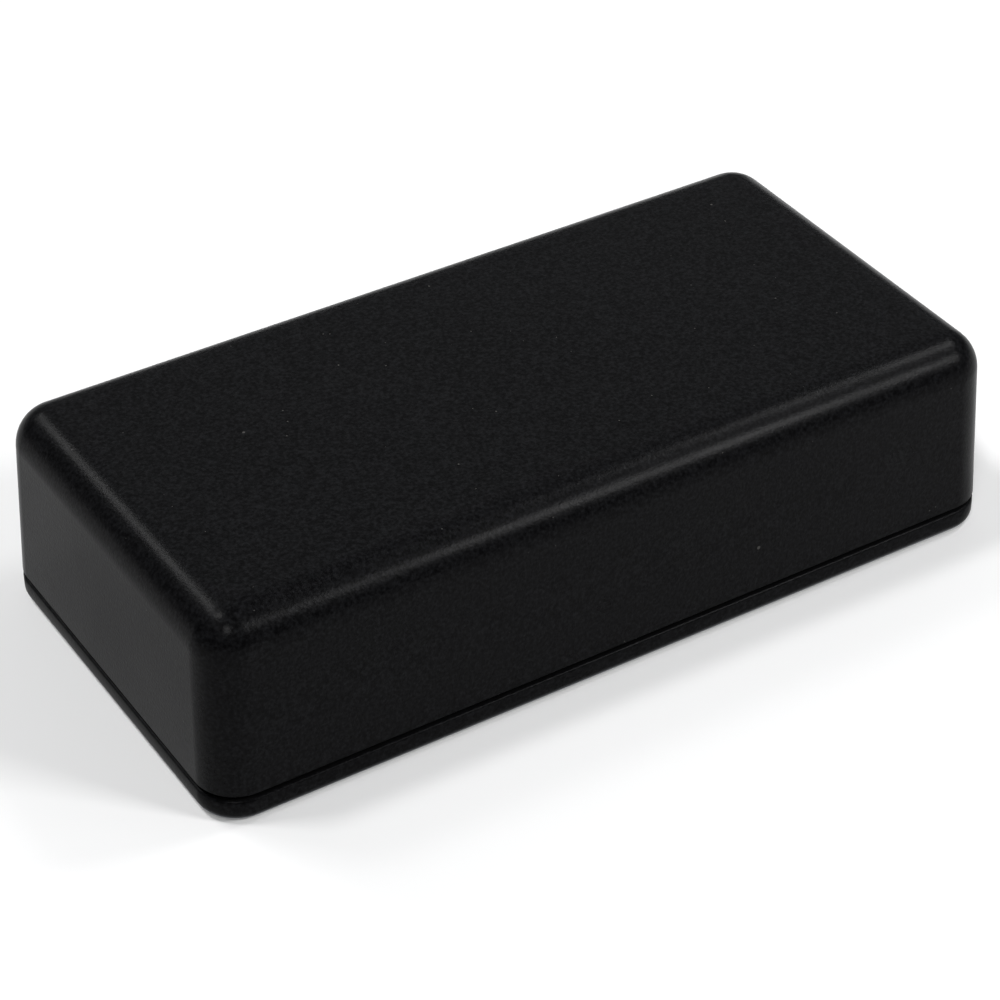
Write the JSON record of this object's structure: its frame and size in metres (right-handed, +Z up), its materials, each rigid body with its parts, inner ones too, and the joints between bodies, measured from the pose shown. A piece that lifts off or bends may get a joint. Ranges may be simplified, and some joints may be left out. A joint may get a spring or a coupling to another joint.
{
  "type": "plastic project box",
  "caption": "Small rectangular plastic enclosure: a deep drafted cover with rounded edges, screwed from beneath onto a shallow base.",
  "frame": {"origin": "middle of the base's underside, on the surface that the box stands on", "axes": "+X along the box's length, +Z up through the cover, -Y out of the front long side"},
  "size_m": [0.08, 0.04, 0.02],
  "materials": {
    "moulded_plastic": "black moulded plastic with a fine spark-eroded texture",
    "screw_steel": "bright zinc-plated steel"
  },
  "bodies": {
    "base_body": {"base": "moulded_plastic", "screw_front_left": "screw_steel", "screw_rear_left": "screw_steel", "screw_front_right": "screw_steel", "screw_rear_right": "screw_steel"},
    "cover_body": {"cover": "moulded_plastic"}
  },
  "joints": [
    {"name": "cover_lift", "type": "slide", "parent": "base_body", "child": "cover_body", "axis": [0, 0, 1], "range_m": [0, 0.03]}
  ]
}
